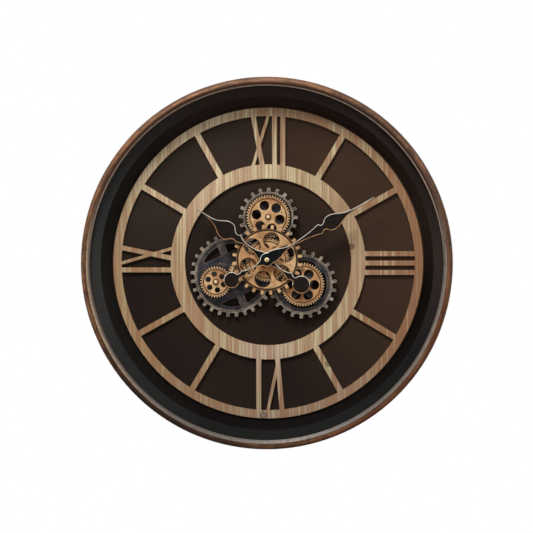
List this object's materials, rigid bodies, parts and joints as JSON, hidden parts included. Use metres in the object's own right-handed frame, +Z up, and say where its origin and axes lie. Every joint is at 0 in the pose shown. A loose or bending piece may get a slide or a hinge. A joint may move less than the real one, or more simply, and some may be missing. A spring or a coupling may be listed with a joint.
{
  "type": "wall clock",
  "caption": "Round glazed wall clock with a deep metal case, a wooden ring of roman numerals, turning display gears and spade hands.",
  "frame": {"origin": "on the axis of the round case, in the plane of the wall that its back flange lies on; the hands turn 5.2 mm above it", "axes": "+X to the viewer's right, -Y out of the wall towards the viewer (the dial faces -Y), +Z up"},
  "size_m": [0.6, 0.08, 0.6],
  "materials": {
    "rim_bronze": "satin",
    "bead_bronze": "gloss",
    "liner_black": "satin",
    "clear_glass": "gloss",
    "seal_black": "matte",
    "board_brown": "matte",
    "pine_pale": "matte",
    "cleat_pine": "matte",
    "zinc_steel": "satin",
    "brass": "satin",
    "grey_weathered": "matte",
    "gold_paint": "satin",
    "hand_black": "satin",
    "module_black": "matte",
    "white_plastic": "satin",
    "coil_copper": "gloss",
    "board_green": "satin",
    "cell_wrap": "gloss"
  },
  "bodies": {
    "case": {"case_rim": "rim_bronze", "glass_bead": "bead_bronze", "glass_pane": "clear_glass", "glass_seal": "seal_black", "dial_liner": "liner_black", "dial_board": "board_brown", "numeral_ring": "pine_pale", "board_cleats": "cleat_pine", "case_screws": "zinc_steel", "board_screws": "zinc_steel", "hanger_plate": "zinc_steel", "hanger_rivets": "zinc_steel", "left_plate": "grey_weathered", "plate_standoffs": "brass", "plate_screws": "brass", "idler_pin": "brass", "small_gear_pin": "brass", "idler_cap": "brass", "small_gear_cap": "brass", "right_post": "brass", "right_post_nut": "brass", "right_cap": "brass", "stem_clip": "zinc_steel", "movement_stem": "brass", "stem_washer": "zinc_steel", "stem_nut": "brass", "movement_case": "module_black", "movement_cover": "module_black", "step_motor": "coil_copper", "circuit_board": "board_green", "drive_case": "module_black", "drive_cover": "module_black", "drive_screws": "zinc_steel", "drive_motor": "zinc_steel", "cells": "cell_wrap", "cell_contacts": "zinc_steel"},
    "centre_gears": {"centre_sleeve": "brass", "centre_fine_gear": "gold_paint", "centre_spacer": "brass", "front_gear": "gold_paint"},
    "top_gears": {"output_shaft": "zinc_steel", "top_grey_gear": "grey_weathered", "top_spacer": "white_plastic", "top_gold_gear": "gold_paint", "top_cap": "brass", "drive_wheel": "white_plastic"},
    "right_gears": {"right_grey_gear": "grey_weathered", "right_spacer": "white_plastic", "right_gold_gear": "gold_paint"},
    "idler": {"idler_gear": "gold_paint"},
    "small_gear": {"small_gold_gear": "gold_paint"},
    "motor_rotor": {"drive_pinion": "brass"},
    "minute": {"minute_hand": "hand_black", "hand_nut": "brass", "minute_arbor": "zinc_steel"},
    "hour": {"hour_hand": "hand_black", "hour_wheel": "white_plastic"},
    "setting": {"minute_wheel": "white_plastic", "setting_knob": "white_plastic"}
  },
  "joints": [
    {"name": "centre_gear_spin", "type": "hinge", "parent": "case", "child": "centre_gears", "pos_m": [0, -0.048, 0.0052], "axis": [0, 1, 0], "continuous": true},
    {"name": "top_gear_spin", "type": "hinge", "parent": "case", "child": "top_gears", "pos_m": [0.00109, -0.042, 0.07431], "axis": [0, 1, 0], "continuous": true},
    {"name": "right_gear_spin", "type": "hinge", "parent": "case", "child": "right_gears", "pos_m": [0.05655, -0.044, -0.03454], "axis": [0, 1, 0], "continuous": true},
    {"name": "idler_spin", "type": "hinge", "parent": "case", "child": "idler", "pos_m": [-0.04634, -0.04725, -0.01461], "axis": [0, 1, 0], "continuous": true},
    {"name": "small_gear_spin", "type": "hinge", "parent": "case", "child": "small_gear", "pos_m": [-0.08342, -0.04725, -0.03047], "axis": [0, 1, 0], "continuous": true},
    {"name": "motor_spin", "type": "hinge", "parent": "case", "child": "motor_rotor", "pos_m": [0.00109, -0.017, 0.09181], "axis": [0, 1, 0], "continuous": true},
    {"name": "minute_hand_spin", "type": "hinge", "parent": "case", "child": "minute", "pos_m": [0, -0.06, 0.0052], "axis": [0, 1, 0], "continuous": true},
    {"name": "hour_hand_spin", "type": "hinge", "parent": "case", "child": "hour", "pos_m": [0, -0.04, 0.0052], "axis": [0, 1, 0], "continuous": true},
    {"name": "setting_knob_spin", "type": "hinge", "parent": "case", "child": "setting", "pos_m": [0, -0.02, 0.0172], "axis": [0, 1, 0], "continuous": true}
  ],
  "couplings": [
    {"joint": "top_gear_spin", "follows": "centre_gear_spin", "ratio": -1},
    {"joint": "right_gear_spin", "follows": "centre_gear_spin", "ratio": -1},
    {"joint": "idler_spin", "follows": "centre_gear_spin", "ratio": -2.1818},
    {"joint": "small_gear_spin", "follows": "centre_gear_spin", "ratio": 1.4118},
    {"joint": "motor_spin", "follows": "centre_gear_spin", "ratio": 6},
    {"joint": "hour_hand_spin", "follows": "minute_hand_spin", "ratio": 0.083333},
    {"joint": "setting_knob_spin", "follows": "minute_hand_spin", "ratio": -0.33333}
  ]
}
